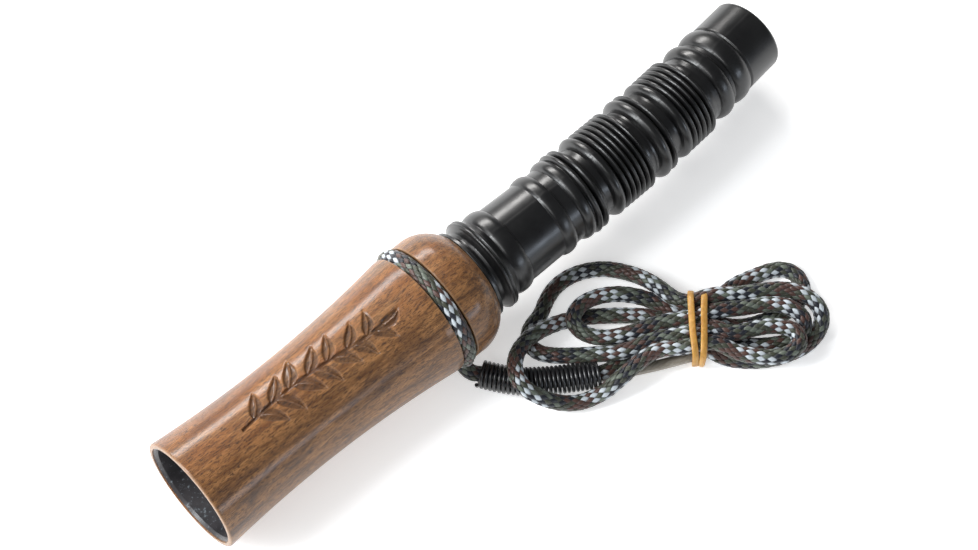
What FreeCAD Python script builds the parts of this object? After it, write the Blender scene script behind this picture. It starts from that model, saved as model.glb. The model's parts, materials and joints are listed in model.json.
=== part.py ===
import FreeCAD, Part
import math
import os
import Sketcher

# A deer grunt call: a turned wooden barrel, a push-in reed insert, a ribbed rubber hose that
# bends at four deep necks, and a lanyard that turns in a groove round the barrel.
# +X runs along the barrel from the mouth to the hose, +Z is up, and the origin is the middle
# of the mouth's end face. The call lies on a surface, with its hose sagging a little.

doc = FreeCAD.newDocument("grunt_call")
sheet = doc.addObject("Spreadsheet::Sheet", "sizes")
X_AXIS = FreeCAD.Vector(1, 0, 0)
Y_AXIS = FreeCAD.Vector(0, 1, 0)
Z_AXIS = FreeCAD.Vector(0, 0, 1)
ALONG_X = FreeCAD.Rotation(Y_AXIS, 90)
parts = []


class Size:
    """A length with its value and the sheet formula that gives it."""

    def __init__(self, value, text):
        self.value = value
        self.text = text

    def __add__(self, other):
        other = as_size(other)
        return Size(self.value + other.value, f"({self.text} + {other.text})")

    def __sub__(self, other):
        other = as_size(other)
        return Size(self.value - other.value, f"({self.text} - {other.text})")

    def __mul__(self, factor):
        return Size(self.value * factor, f"({self.text} * {factor})")

    def __neg__(self):
        return self * -1


def as_size(number):
    return number if isinstance(number, Size) else Size(number, f"{number}")


def size(alias, value, meaning):
    """Write one driving dimension into the sheet, in millimetres or degrees."""
    row = size.row
    size.row += 1
    sheet.set(f"A{row}", meaning)
    sheet.set(f"B{row}", f"{value}")
    sheet.setAlias(f"B{row}", alias)
    return Size(value, f"sizes.{alias}")


size.row = 1

# Wooden barrel.
barrel_length = size("barrel_length", 99.6, "barrel from mouth to hose end")
mouth_radius = size("mouth_radius", 17.5, "barrel outside radius at the mouth")
waist_radius = size("waist_radius", 16.0, "barrel outside radius at the waist")
waist_place = size("waist_place", 40.0, "waist from the mouth")
shoulder_radius = size("shoulder_radius", 19.0, "barrel outside radius beside the groove")
shoulder_run = size("shoulder_run", 9.1, "length of the rounded shoulder")
end_radius = size("end_radius", 14.1, "barrel end face outside radius")
swell_radius = size("swell_radius", 18.8, "barrel outside radius before the groove")
swell_before = size("swell_before", 4.6, "end of the waist's curve before the groove")
mouth_edge = size("mouth_edge", 0.6, "rounding of the mouth rim")
chamber_radius = size("chamber_radius", 12.4, "radius of the barrel's inner chamber")
socket_radius = size("socket_radius", 9.5, "radius of the insert's socket")
socket_length = size("socket_length", 28.0, "length of the insert's socket")
throat_run = size("throat_run", 5.0, "taper from chamber to socket")
groove_place = size("groove_place", 84.6, "lanyard groove from the mouth")
groove_clearance = size("groove_clearance", 0.15, "gap between loop and groove")

# Liner pressed into the mouth.
liner_length = size("liner_length", 30.0, "liner length")
liner_mouth_radius = size("liner_mouth_radius", 15.9, "liner outside radius at the mouth")
liner_inner_end_radius = size("liner_inner_end_radius", 13.4, "liner outside radius inside")
liner_wall = size("liner_wall", 0.9, "liner wall")
liner_recess = size("liner_recess", 0.4, "liner set back from the rim")

# Reed insert.
housing_clearance = size("housing_clearance", 0.3, "housing to socket, all round")
seal_clearance = size("seal_clearance", 0.05, "seal ring to socket")
seal_thick = size("seal_thick", 1.8, "seal ring section diameter")
seal_inset = size("seal_inset", 5.0, "seal rings from the plug's ends")
collar_step = size("collar_step", 1.7, "housing collar standing out of the socket")
collar_thick = size("collar_thick", 1.6, "housing collar thickness")
spigot_length = size("spigot_length", 13.5, "spigot that holds the hose")
housing_wall = size("housing_wall", 0.9, "housing left between seal groove and board seat")
air_step = size("air_step", 1.2, "step from board seat to air way")
board_seat = size("board_seat", 10.0, "depth of the tone board's seat")
board_length = size("board_length", 34.0, "tone board in front of the housing")
board_tip = size("board_tip", 4.0, "solid tip in front of the trough")
board_wall = size("board_wall", 2.6, "tone board beside its trough")
reed_lap = size("reed_lap", 0.6, "reed over each edge of the trough")
reed_thick = size("reed_thick", 0.4, "reed thickness")
reed_free = size("reed_free", 21.0, "free length of the reed")
reed_gap = size("reed_gap", 0.1, "reed to tone board, and reed to its root")
reed_set_back = size("reed_set_back", 1.5, "reed tip behind the board's tip")
ring_thick = size("ring_thick", 1.4, "tuning ring section diameter")
ring_gap = size("ring_gap", 0.1, "tuning ring to board and reed")
ring_from_reed = size("ring_from_reed", 2.2, "tuning ring behind the free reed")
ring_corner = size("ring_corner", 1.6, "tuning ring corner radius")

# Rubber hose.
bore_radius = size("bore_radius", 9.0, "hose bore radius")
spigot_fit = size("spigot_fit", 0.05, "spigot to hose bore")
tube_radius = size("tube_radius", 12.3, "plain outside radius of the hose")
cuff_radius = size("cuff_radius", 11.7, "outside radius of the end cuff")
cuff_bore = size("cuff_bore", 9.8, "bore radius at the cuff's end")
cuff_bore_depth = size("cuff_bore_depth", 14.0, "depth of the wider bore in the cuff")
flange_radius = size("flange_radius", 14.1, "lip against the barrel")
flange_thick = size("flange_thick", 1.3, "lip thickness")
seat_gap = size("seat_gap", 0.1, "hose lip to barrel")
base_length = size("base_length", 43.7, "barrel end to the first neck")
pack_one_length = size("pack_one_length", 19.0, "first to second neck")
middle_length = size("middle_length", 8.6, "second to third neck")
pack_two_length = size("pack_two_length", 16.9, "third to fourth neck")
cuff_length = size("cuff_length", 26.3, "fourth neck to the hose end")
neck_radius = size("neck_radius", 11.6, "outside radius of the necks")
neck_half = size("neck_half", 2.4, "half length of a neck ring")
lip_half = size("lip_half", 1.2, "half of the gap at a neck")
neck_clearance = size("neck_clearance", 0.3, "neck ring to the hose round it")
neck_room = size("neck_room", 1.4, "room for a neck ring to tilt")
rib_thick = size("rib_thick", 1.7, "thin rib section diameter")
rib_pitch = size("rib_pitch", 1.9, "thin rib spacing")
rib_radius = size("rib_radius", 13.0, "outside radius of the thin ribs")
disc_radius = size("disc_radius", 14.4, "outside radius of the disc rib")
disc_place = size("disc_place", 5.1, "disc rib from the barrel")
bead_spacing = size("bead_spacing", 6.0, "disc rib to the round bead")
low_bead_place = size("low_bead_place", 28.4, "first low bead from the barrel")
low_bead_spacing = size("low_bead_spacing", 7.8, "first to second low bead")
bead_thick = size("bead_thick", 3.8, "round bead section diameter")
bead_radius = size("bead_radius", 13.2, "outside radius of the round beads")
low_bead_radius = size("low_bead_radius", 12.7, "outside radius of the low beads")

# Lanyard.
cord_thick = size("cord_thick", 4.6, "lanyard cord diameter")
loop_proud = size("loop_proud", 1.0, "loop standing out of its groove")
spring_room = size("spring_room", 1.0, "cord to spring, all round")
spring_wire = size("spring_wire", 1.2, "spring wire")
rod_thick = size("rod_thick", 3.6, "smooth rod behind the spring")
hank_height = size("hank_height", 11.5, "height of the tied hank")
hank_layer = size("hank_layer", 4.8, "height of the hank's lowest layer of cord")
hank_edge = size("hank_edge", 2.0, "rounding of the hank's upper edge")
band_thick = size("band_thick", 1.8, "rubber band section diameter")
band_spacing = size("band_spacing", 3.2, "between the band's two turns")
band_corner = size("band_corner", 3.5, "band corner radius")

# How the hose lies: turn to the left and sag of each stretch, in degrees.
HOSE_TURN = (0.0, 1.5, 3.2, 5.2, 7.5)
HOSE_SAG = (0.0, 0.9, 1.7, 2.6, 3.5)


# ---- helpers ----

def bind(item, **properties):
    """Tie an object's properties to the sheet."""
    for name, length in properties.items():
        setattr(item, name, length.value)
        item.setExpression(name, length.text)


def keep(item, label):
    """Count an object as a sub-part under its final name."""
    item.Label = label
    parts.append(item)
    return item


def along_x(item, start):
    """Lay an object's own Z axis along X, beginning at start."""
    item.Placement = FreeCAD.Placement(FreeCAD.Vector(start.value, 0, 0), ALONG_X)
    item.setExpression("Placement.Base.x", start.text)
    return item


def cylinder(name, radius, length, start):
    item = doc.addObject("Part::Cylinder", name)
    bind(item, Radius=radius, Height=length)
    return along_x(item, start)


def bead(name, outside, thick, centre):
    """A round ring round the X axis with the given outside radius and section diameter."""
    item = doc.addObject("Part::Torus", name)
    bind(item, Radius1=outside - thick * 0.5, Radius2=thick * 0.5)
    return along_x(item, centre)


def ball(name, radius, centre):
    item = doc.addObject("Part::Sphere", name)
    bind(item, Radius=radius)
    return along_x(item, centre)


def block(name, length, width, height, corner):
    """A box from its low corner, given as three sizes."""
    item = doc.addObject("Part::Box", name)
    bind(item, Length=length, Width=width, Height=height)
    for letter, place in zip("xyz", corner):
        item.setExpression(f"Placement.Base.{letter}", as_size(place).text)
    return item


def fused(name, items):
    item = doc.addObject("Part::MultiFuse", name)
    item.Shapes = items
    return item


def cut(name, base, tools):
    item = doc.addObject("Part::Cut", name)
    item.Base = base
    item.Tool = tools[0] if len(tools) == 1 else fused(name + "_tool", tools)
    return item


def common(name, first, second):
    item = doc.addObject("Part::Common", name)
    item.Base = first
    item.Tool = second
    return item


def fix_point(sketch, edge, end, place):
    """Hold one end of a sketch edge at a place given by two sizes."""
    for kind, length in zip(("DistanceX", "DistanceY"), place):
        if length.value == 0:
            axis = -2 if kind == "DistanceX" else -1
            sketch.addConstraint(Sketcher.Constraint("PointOnObject", edge, end, axis))
            continue
        number = sketch.addConstraint(
            Sketcher.Constraint(kind, -1, 1, edge, end, length.value))
        sketch.setExpression(f"Constraints[{number}]", length.text)


def sketch_line(sketch, start, finish):
    a = FreeCAD.Vector(start[0].value, start[1].value, 0)
    b = FreeCAD.Vector(finish[0].value, finish[1].value, 0)
    edge = sketch.addGeometry(Part.LineSegment(a, b))
    fix_point(sketch, edge, 1, start)
    fix_point(sketch, edge, 2, finish)


def sketch_arc(sketch, start, middle, finish):
    """An arc between two fixed ends through a fixed middle point."""
    a, b, c = [FreeCAD.Vector(p[0].value, p[1].value, 0) for p in (start, middle, finish)]
    if (b - a).cross(c - a).z < 0:
        a, c = c, a
        start, finish = finish, start
    edge = sketch.addGeometry(Part.Arc(a, b, c))
    point = sketch.addGeometry(Part.Point(b), True)
    fix_point(sketch, point, 1, middle)
    sketch.addConstraint(Sketcher.Constraint("PointOnObject", point, 1, edge))
    fix_point(sketch, edge, 1, start)
    fix_point(sketch, edge, 2, finish)


def revolved(name, outline):
    """A body turned about the X axis. The outline is a closed list of (along, radius) points;
    a point marked "via" is the middle of an arc between its neighbours."""
    body = doc.addObject("PartDesign::Body", name)
    plane = [item for item in body.Origin.OriginFeatures if item.Role == "XY_Plane"][0]
    sketch = body.newObject("Sketcher::SketchObject", name + "_outline")
    sketch.AttachmentSupport = (plane, "")
    sketch.MapMode = "FlatFace"
    corners = [index for index, point in enumerate(outline) if len(point) == 2]
    for index, following in zip(corners, corners[1:] + [len(outline)]):
        start = outline[index][:2]
        finish = outline[following % len(outline)][:2]
        if following - index == 2:
            sketch_arc(sketch, start, outline[index + 1][:2], finish)
        else:
            sketch_line(sketch, start, finish)
    turn = body.newObject("PartDesign::Revolution", name + "_turn")
    turn.Profile = sketch
    turn.ReferenceAxis = (sketch, ["H_Axis"])
    turn.Angle = 360
    sketch.Visibility = False
    return body


def route(points, closed=False, corner=None):
    """Straight runs joined by tangent arcs, each as large as its two runs allow."""
    nodes = [FreeCAD.Vector(*point) for point in points]
    count = len(nodes)
    edges = []
    radii = []
    bends = range(count) if closed else range(1, count - 1)
    ends = {}
    for index in bends:
        before = nodes[index - 1] - nodes[index]
        after = nodes[(index + 1) % count] - nodes[index]
        half_turn = (math.pi - before.getAngle(after)) / 2
        reach = 0.45 * min(before.Length, after.Length)
        if corner is not None:
            reach = min(reach, corner * math.tan(half_turn))
        radii.append(reach / math.tan(half_turn))
        middle = nodes[index] + (before.normalize() + after.normalize()).normalize() * (
            radii[-1] / math.cos(half_turn) - radii[-1])
        ends[index] = (nodes[index] + before * reach, middle, nodes[index] + after * reach)
    for index in range(count if closed else count - 1):
        following = (index + 1) % count
        start = ends[index][2] if index in ends else nodes[index]
        finish = ends[following][0] if following in ends else nodes[following]
        edges.append(Part.LineSegment(start, finish).toShape())
        if following in ends:
            edges.append(Part.Arc(*ends[following]).toShape())
    return Part.Wire(edges), radii


def swept(label, wire, radius, note=None):
    """A round tube along a wire."""
    start = wire.Edges[0].firstVertex().Point
    along = wire.Edges[0].tangentAt(wire.Edges[0].FirstParameter)
    ring = Part.Wire([Part.makeCircle(radius, FreeCAD.Vector(start), along)])
    solid = wire.makePipeShell([ring], True, False)
    ideal = math.pi * radius ** 2 * wire.Length
    print(f"{label}: length {wire.Length:.1f}, volume {solid.Volume / ideal:.4f} of section x length")
    if note:
        print(f"{label}: arc radii", [round(value, 1) for value in note])
    return solid


def shaped(name, solid, label=None):
    item = doc.addObject("Part::Feature", name)
    item.Shape = solid
    if label:
        keep(item, label)
    return item


# ---- the wooden barrel and its liner ----

collar_radius = socket_radius + collar_step
socket_start = barrel_length - socket_length
collar_start = barrel_length - collar_thick
loop_radius = shoulder_radius + loop_proud - cord_thick * 0.5
groove_half = cord_thick * 0.5 + groove_clearance
liner_end = liner_recess + liner_length


def make_barrel():
    """Turned barrel: waisted outside, rounded shoulder, stepped bore and lanyard groove."""
    zero = as_size(0)
    drop = shoulder_radius - end_radius
    corner = mouth_edge * 0.293
    outline = [
        (zero, liner_mouth_radius),
        (zero, mouth_radius - mouth_edge),
        (corner, mouth_radius - corner, "via"),
        (mouth_edge, mouth_radius),
        (waist_place, waist_radius, "via"),
        (groove_place - swell_before, swell_radius),
        (barrel_length - shoulder_run, shoulder_radius),
        (barrel_length - shoulder_run * 0.4, shoulder_radius - drop * 0.3, "via"),
        (barrel_length, end_radius),
        (barrel_length, collar_radius + housing_clearance),
        (collar_start - seat_gap, collar_radius + housing_clearance),
        (collar_start - seat_gap, socket_radius),
        (socket_start, socket_radius),
        (socket_start - throat_run, chamber_radius),
        (liner_end, chamber_radius),
        (liner_end, liner_inner_end_radius),
        (liner_recess, liner_mouth_radius),
    ]
    turned = revolved("turned_barrel", outline)
    round_bottom = bead("groove_bottom", loop_radius + groove_half, groove_half * 2, groove_place)
    start = groove_place - groove_half
    wall = cylinder("groove_wall", shoulder_radius + cord_thick, groove_half * 2, start)
    core = cylinder("groove_core", loop_radius, groove_half * 2, start)
    keep(cut("grooved_barrel", turned, [round_bottom, cut("groove_slot", wall, [core])]), "barrel")


def make_liner():
    """Thin black sleeve, tapered, with a bevelled inner lip at the mouth."""
    outline = [
        (liner_recess, liner_mouth_radius),
        (liner_end, liner_inner_end_radius),
        (liner_end, liner_inner_end_radius - liner_wall),
        (liner_recess + liner_wall, liner_mouth_radius - liner_wall),
        (liner_recess, liner_mouth_radius - liner_wall * 0.4),
    ]
    keep(revolved("liner_sleeve", outline), "mouth_liner")


# ---- the reed insert ----

board_radius = socket_radius - seal_thick - housing_wall
trough_radius = board_radius - board_wall
reed_width = trough_radius * 2 + reed_lap * 2
air_radius = board_radius - air_step
housing_start = socket_start + seat_gap
plug_radius = socket_radius - housing_clearance
seat_radius = board_radius + spigot_fit
seat_end = housing_start + board_seat
board_start = housing_start - board_length
root_start = board_start + reed_set_back + reed_free
root_length = seat_end - root_start - seat_gap
seal_places = (housing_start + seal_inset, collar_start - seal_inset)


def make_housing():
    """Plug with two seal grooves, a collar in the barrel's end, and the spigot for the hose."""
    spigot_radius = bore_radius - spigot_fit
    tip = barrel_length + spigot_length
    bevel = as_size(0.8)
    outline = [
        (housing_start, seat_radius),
        (housing_start, plug_radius),
        (collar_start, plug_radius),
        (collar_start, collar_radius),
        (barrel_length, collar_radius),
        (barrel_length, spigot_radius),
        (tip - bevel, spigot_radius),
        (tip, spigot_radius - bevel),
        (tip, air_radius),
        (seat_end, air_radius),
        (seat_end, seat_radius),
    ]
    turned = revolved("turned_housing", outline)
    grooves = [bead(f"seal_groove_{number}", socket_radius, seal_thick + seal_clearance * 2, place)
               for number, place in enumerate(seal_places, 1)]
    keep(cut("grooved_housing", turned, grooves), "insert_housing")


def make_seals():
    for number, place in enumerate(seal_places, 1):
        ring = bead(f"seal_{number}", socket_radius - seal_clearance, seal_thick, place)
        keep(ring, f"seal_ring_{number}")


def make_tone_board():
    """Half-round board with a trough that the reed covers."""
    length = board_length + board_seat - seat_gap
    rod = cylinder("board_rod", board_radius, length, board_start)
    below = block("board_half", length, board_radius * 2, board_radius,
                  (board_start, -board_radius, -board_radius))
    trough = cylinder("trough", trough_radius, length, board_start + board_tip)
    keep(cut("troughed_board", common("half_board", rod, below), [trough]), "tone_board")


def make_reed():
    """Free tongue over the trough, and its root, clamped under the wedge."""
    tongue = block("tongue", reed_free - reed_gap, reed_width, reed_thick,
                   (board_start + reed_set_back, reed_width * -0.5, reed_gap))
    keep(tongue, "reed_tongue")
    root = block("root", root_length, reed_width, reed_thick,
                 (root_start, reed_width * -0.5, as_size(0)))
    keep(root, "reed_root")


def make_wedge():
    """Half-round wedge that holds the reed's root down in the housing."""
    length = board_seat - seat_gap * 2
    start = housing_start + seat_gap
    rod = cylinder("wedge_rod", board_radius, length, start)
    above = block("wedge_half", length, board_radius * 2, board_radius,
                  (start, -board_radius, reed_thick))
    keep(common("half_wedge", rod, above), "reed_wedge")


def make_tuning_ring():
    """Rubber ring, round below the board and flat across the reed."""
    around = board_radius.value + ring_gap.value + ring_thick.value / 2
    top = reed_thick.value + ring_gap.value + ring_thick.value / 2
    along = root_start.value + ring_from_reed.value
    corner = min(ring_corner.value, top)
    slant = corner * (1 - math.sqrt(0.5))

    def at(across, height):
        return FreeCAD.Vector(along, across, height)

    edges = [Part.Arc(at(around, 0), at(0, -around), at(-around, 0))]
    if top > corner:
        edges.append(Part.LineSegment(at(-around, 0), at(-around, top - corner)))
    edges.append(Part.Arc(at(-around, top - corner), at(slant - around, top - slant),
                          at(corner - around, top)))
    edges.append(Part.LineSegment(at(corner - around, top), at(around - corner, top)))
    edges.append(Part.Arc(at(around - corner, top), at(around - slant, top - slant),
                          at(around, top - corner)))
    if top > corner:
        edges.append(Part.LineSegment(at(around, top - corner), at(around, 0)))
    wire = Part.Wire([edge.toShape() for edge in edges])
    shaped("ring_round_board", swept("tuning_ring", wire, ring_thick.value / 2), "tuning_ring")


# ---- the rubber hose ----

def hose_frames():
    """Placement of each hose stretch: the barrel's end, then the four necks."""
    place = FreeCAD.Vector(barrel_length.value, 0, 0)
    stretches = (base_length, pack_one_length, middle_length, pack_two_length, cuff_length)
    frames = []
    for turn, sag, stretch in zip(HOSE_TURN, HOSE_SAG, stretches):
        turned = FreeCAD.Rotation(Z_AXIS, turn).multiply(FreeCAD.Rotation(Y_AXIS, sag))
        frames.append(FreeCAD.Placement(place, turned))
        place = place + turned.multVec(FreeCAD.Vector(stretch.value, 0, 0))
    return frames


def hose_stretch(label, outside, length, frame, bored_end=True):
    """Fuse the outside of a stretch, bore it and hollow its ends for the neck rings."""
    name = label + "_stretch"
    hollow = neck_radius + neck_clearance
    tools = [cylinder(name + "_bore", bore_radius, length + lip_half * 2, -lip_half)]
    if label != "hose_base":
        tools.append(ball(name + "_near_socket", hollow, as_size(0)))
    if bored_end:
        tools.append(ball(name + "_far_socket", hollow, length))
    else:
        tools.append(cylinder(name + "_wide_bore", cuff_bore, cuff_bore_depth, length - cuff_bore_depth))
    item = cut(name, fused(name + "_outside", outside), tools)
    item.Placement = frame
    keep(item, label)


def thin_ribs(label, first, count):
    return [bead(f"{label}_rib_{number}", rib_radius, rib_thick, first + rib_pitch * number)
            for number in range(count)]


def make_hose_base(frame):
    """Lip against the barrel, disc rib, plain tube, low beads and two ribs."""
    outside = [
        cylinder("lip", flange_radius, flange_thick, seat_gap),
        cylinder("base_tube", tube_radius, base_length - lip_half - seat_gap, seat_gap),
        cylinder("disc_web", disc_radius - rib_thick * 0.5, rib_thick * 1.4, disc_place - rib_thick * 0.4),
        bead("disc_rib_1", disc_radius, rib_thick, disc_place),
        bead("disc_rib_2", disc_radius, rib_thick, disc_place + rib_thick * 0.6),
        bead("round_bead_1", bead_radius, bead_thick, disc_place + bead_spacing),
        bead("low_bead_1", low_bead_radius, bead_thick, low_bead_place),
        bead("low_bead_2", low_bead_radius, bead_thick, low_bead_place + low_bead_spacing),
        bead("base_rib_1", rib_radius, rib_thick, base_length - lip_half - rib_thick * 2),
        bead("base_rib_2", rib_radius, rib_thick, base_length - lip_half - rib_thick * 0.5),
    ]
    hose_stretch("hose_base", outside, base_length, frame)


def make_hose_pack(label, length, count, frame):
    """One round bead, then a row of thin ribs, between two necks."""
    outside = [
        cylinder(label + "_tube", tube_radius, length - lip_half * 2, lip_half),
        bead(label + "_bead", bead_radius, bead_thick, lip_half + bead_thick * 0.5),
    ]
    outside += thin_ribs(label, lip_half + bead_thick + rib_thick * 0.5, count)
    hose_stretch(label, outside, length, frame)


def make_hose_cuff(frame):
    """Two round beads, then the smooth cuff that ends the hose."""
    first = lip_half + bead_thick * 0.5
    outside = [
        cylinder("cuff_neck_tube", tube_radius, bead_thick, lip_half),
        cylinder("cuff_tube", cuff_radius, cuff_length - lip_half - bead_thick * 0.5, first),
        bead("cuff_bead_1", low_bead_radius, bead_thick, first),
        bead("cuff_bead_2", low_bead_radius, bead_thick, first + bead_spacing * 1.3),
    ]
    hose_stretch("hose_cuff", outside, cuff_length, frame, bored_end=False)


def make_neck_rings(frames):
    """A ring with a ball-shaped outside sits in each neck, so that the hose bends there."""
    for number in range(1, len(frames)):
        name = f"neck_{number}"
        disc = cylinder(name + "_disc", neck_radius, neck_half * 2, -neck_half)
        whole = common(name + "_zone", ball(name + "_ball", neck_radius, as_size(0)), disc)
        item = cut(name + "_ring", whole,
                   [cylinder(name + "_bore", bore_radius, neck_half * 4, neck_half * -2)])
        item.Placement = frames[number]
        keep(item, f"hose_neck_{number}")


# ---- the lanyard ----

# The spring's line on the surface, from beside the barrel to the hank.
SPRING_ROUTE = [
    (87.4, -19.3), (90.4, -24.1), (94.4, -28.9), (99.5, -33.1), (105.2, -37.2), (111.9, -41.4),
]
# The cord's line from its loop down to the spring.
TAIL_ROUTE = [
    (84.6, -13.8, -11.1),
    (84.9, -17.2, -14.6),
]
# The smooth rod's line, from the spring through the tie.
ROD_ROUTE = [
    (112.6, -41.9, -15.9),
    (122.5, -47.2, -17.2),
    (135.8, -53.9, -16.2),
    (140.5, -56.3, -16.3),
]
# Outer edge of the hank's lowest layer, seen from above.
LOW_OUTLINE = [
    (151.0, -43.2), (146.0, -38.0), (144.6, -30.0), (141.3, -21.3), (136.5, -15.0),
    (129.5, -10.8), (122.5, -9.9), (112.0, -14.0), (104.5, -17.5), (95.5, -20.8),
    (90.3, -26.0), (89.0, -33.0), (91.3, -38.6), (96.3, -42.9), (102.0, -46.4),
    (108.5, -48.9), (114.0, -50.0), (121.0, -50.4), (134.5, -56.2), (139.5, -61.5),
    (144.5, -67.2), (149.8, -71.3), (156.0, -75.0), (163.2, -75.8), (171.0, -74.0),
    (174.6, -69.8), (174.6, -63.5), (177.5, -59.5), (178.2, -53.0), (174.0, -47.7),
    (166.0, -44.9), (158.5, -43.2),
]
# Outer edge of the layers above it.
HIGH_OUTLINE = [
    (144.5, -40.5), (139.0, -34.5), (131.0, -21.5), (121.5, -20.2), (113.5, -20.0),
    (104.0, -19.0), (95.5, -21.3), (91.0, -26.0), (89.6, -33.0), (92.0, -38.3),
    (96.8, -41.5), (102.0, -43.0), (108.5, -47.5), (114.0, -49.4), (121.0, -49.8),
    (134.5, -55.6), (139.5, -60.0), (144.0, -66.0), (149.0, -70.7), (156.0, -74.3),
    (162.0, -73.0), (168.0, -70.0), (173.6, -68.5), (173.8, -63.0), (171.0, -55.0),
    (163.0, -50.5), (156.0, -46.5), (151.0, -43.8),
]
# The middle of the tie, and the direction across the hank there.
BAND_MIDDLE = (141.7, -50.1)
BAND_ACROSS = (0.66, 0.75)
BAND_WIDTH = 23.5

floor = -(shoulder_radius + loop_proud).value
spring_radius = (cord_thick * 0.5 + spring_room + spring_wire).value


def make_loop():
    """Cord loop that turns in the barrel's groove."""
    keep(bead("loop", loop_radius + cord_thick * 0.5, cord_thick, groove_place), "lanyard_loop")


def make_spring_group():
    """Spring as a hollow tube of its outer size, the cord inside it, and the rod behind it."""
    spring_route = [(x, y, floor + spring_radius) for x, y in SPRING_ROUTE]
    line, radii = route(spring_route)
    outer = swept("lanyard_spring", line, spring_radius, radii)
    inner = swept("spring bore", line, spring_radius - spring_wire.value)
    shaped("spring_tube", outer.cut(inner), "lanyard_spring")
    line, radii = route(TAIL_ROUTE + spring_route)
    shaped("tail", swept("lanyard_tail", line, cord_thick.value / 2, radii), "lanyard_tail")
    line, radii = route(ROD_ROUTE)
    shaped("rod", swept("lanyard_rod", line, rod_thick.value / 2, radii), "lanyard_rod")


def hank_level(outline, height):
    line, _ = route([(x, y, floor) for x, y in outline], closed=True)
    return Part.Face(line).extrude(FreeCAD.Vector(0, 0, height))


def make_hank():
    """The tied hank as one solid of its outer shape: its lowest layer, and the layers above."""
    high = hank_level(HIGH_OUTLINE, hank_height.value)
    upper = [edge for edge in high.Edges
             if edge.BoundBox.ZMin > floor + hank_height.value - 0.01]
    rounded = high.makeFillet(hank_edge.value, upper)
    low = hank_level(LOW_OUTLINE, hank_layer.value)
    shaped("hank", low.fuse(rounded), "cord_hank")


def make_band():
    """One rubber band in two turns round the hank, joined where it crosses below."""
    across = FreeCAD.Vector(*BAND_ACROSS, 0).normalize()
    along = across.cross(Z_AXIS)
    half = BAND_WIDTH / 2
    low = floor + band_thick.value / 2
    high = floor + hank_height.value + band_thick.value / 2
    turns = []
    for side in (-0.5, 0.5):
        middle = FreeCAD.Vector(*BAND_MIDDLE, 0) + along * (band_spacing.value * side)
        corners = [middle + across * reach + Z_AXIS * height
                   for reach, height in ((-half, low), (half, low), (half, high), (-half, high))]
        line, _ = route([tuple(point) for point in corners], closed=True, corner=band_corner.value)
        turns.append(swept("hank_band", line, band_thick.value / 2))
    bridge = Part.makeCylinder(band_thick.value / 2, band_spacing.value,
                               FreeCAD.Vector(*BAND_MIDDLE, low) - along * (band_spacing.value / 2),
                               along)
    shaped("band", turns[0].fuse(turns[1]).fuse(bridge), "hank_band")


# ---- build, check and write ----

make_barrel()
make_liner()
make_housing()
make_seals()
make_tone_board()
make_reed()
make_wedge()
make_tuning_ring()
frames = hose_frames()
make_hose_base(frames[0])
make_hose_pack("hose_pack_1", pack_one_length, 6, frames[1])
make_hose_pack("hose_middle", middle_length, 1, frames[2])
make_hose_pack("hose_pack_2", pack_two_length, 5, frames[3])
make_hose_cuff(frames[4])
make_neck_rings(frames)
make_loop()
make_spring_group()
make_hank()
make_band()
doc.recompute()

for item in doc.Objects:
    if "Invalid" in item.State or "Error" in item.State:
        raise RuntimeError(f"{item.Label} failed: {item.State}")
for item in parts:
    if item.Shape.isNull() or not item.Shape.isValid() or len(item.Shape.Solids) != 1:
        raise RuntimeError(f"{item.Label} has no single valid solid")

os.makedirs("parts", exist_ok=True)
for item in parts:
    item.Shape.exportStep(f"parts/{item.Label}.step")
    box = item.Shape.BoundBox
    print(f"{item.Label}: {item.Shape.Volume:.1f} mm3,"
          f" x {box.XMin:.1f} {box.XMax:.1f}, y {box.YMin:.1f} {box.YMax:.1f},"
          f" z {box.ZMin:.1f} {box.ZMax:.1f}")
for frame in frames:
    print("hose frame", [round(value, 4) for value in frame.Base],
          [round(value, 5) for value in frame.Rotation.multVec(X_AXIS)],
          [round(value, 5) for value in frame.Rotation.multVec(Y_AXIS)],
          [round(value, 5) for value in frame.Rotation.multVec(Z_AXIS)])
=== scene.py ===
import json
import math

import bmesh
import bpy
from mathutils import Matrix, Vector


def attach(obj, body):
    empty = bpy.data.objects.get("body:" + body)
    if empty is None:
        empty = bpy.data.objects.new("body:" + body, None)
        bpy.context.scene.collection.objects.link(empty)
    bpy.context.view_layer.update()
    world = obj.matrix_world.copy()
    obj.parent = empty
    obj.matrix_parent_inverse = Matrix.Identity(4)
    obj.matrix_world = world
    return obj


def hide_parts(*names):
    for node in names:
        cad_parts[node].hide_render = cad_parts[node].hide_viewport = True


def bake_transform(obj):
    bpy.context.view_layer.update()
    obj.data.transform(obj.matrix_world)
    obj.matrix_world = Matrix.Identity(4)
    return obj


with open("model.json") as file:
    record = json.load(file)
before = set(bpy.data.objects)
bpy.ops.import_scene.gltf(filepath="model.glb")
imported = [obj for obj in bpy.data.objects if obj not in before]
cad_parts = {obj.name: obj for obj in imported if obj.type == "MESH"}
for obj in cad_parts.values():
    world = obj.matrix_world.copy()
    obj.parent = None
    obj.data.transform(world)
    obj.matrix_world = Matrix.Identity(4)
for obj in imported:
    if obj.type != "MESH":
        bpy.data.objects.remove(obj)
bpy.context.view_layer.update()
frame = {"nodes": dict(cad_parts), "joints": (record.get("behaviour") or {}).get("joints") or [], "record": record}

MM = 0.001


# ---- The wooden barrel ----
# One hardwood blank turned on a lathe, waisted for the fingers, with a rounded shoulder and a
# groove for the lanyard. A leaf sprig is cut into its upper side, then it is stained brown,
# rubbed back along its edges and varnished to a satin gloss.

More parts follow.
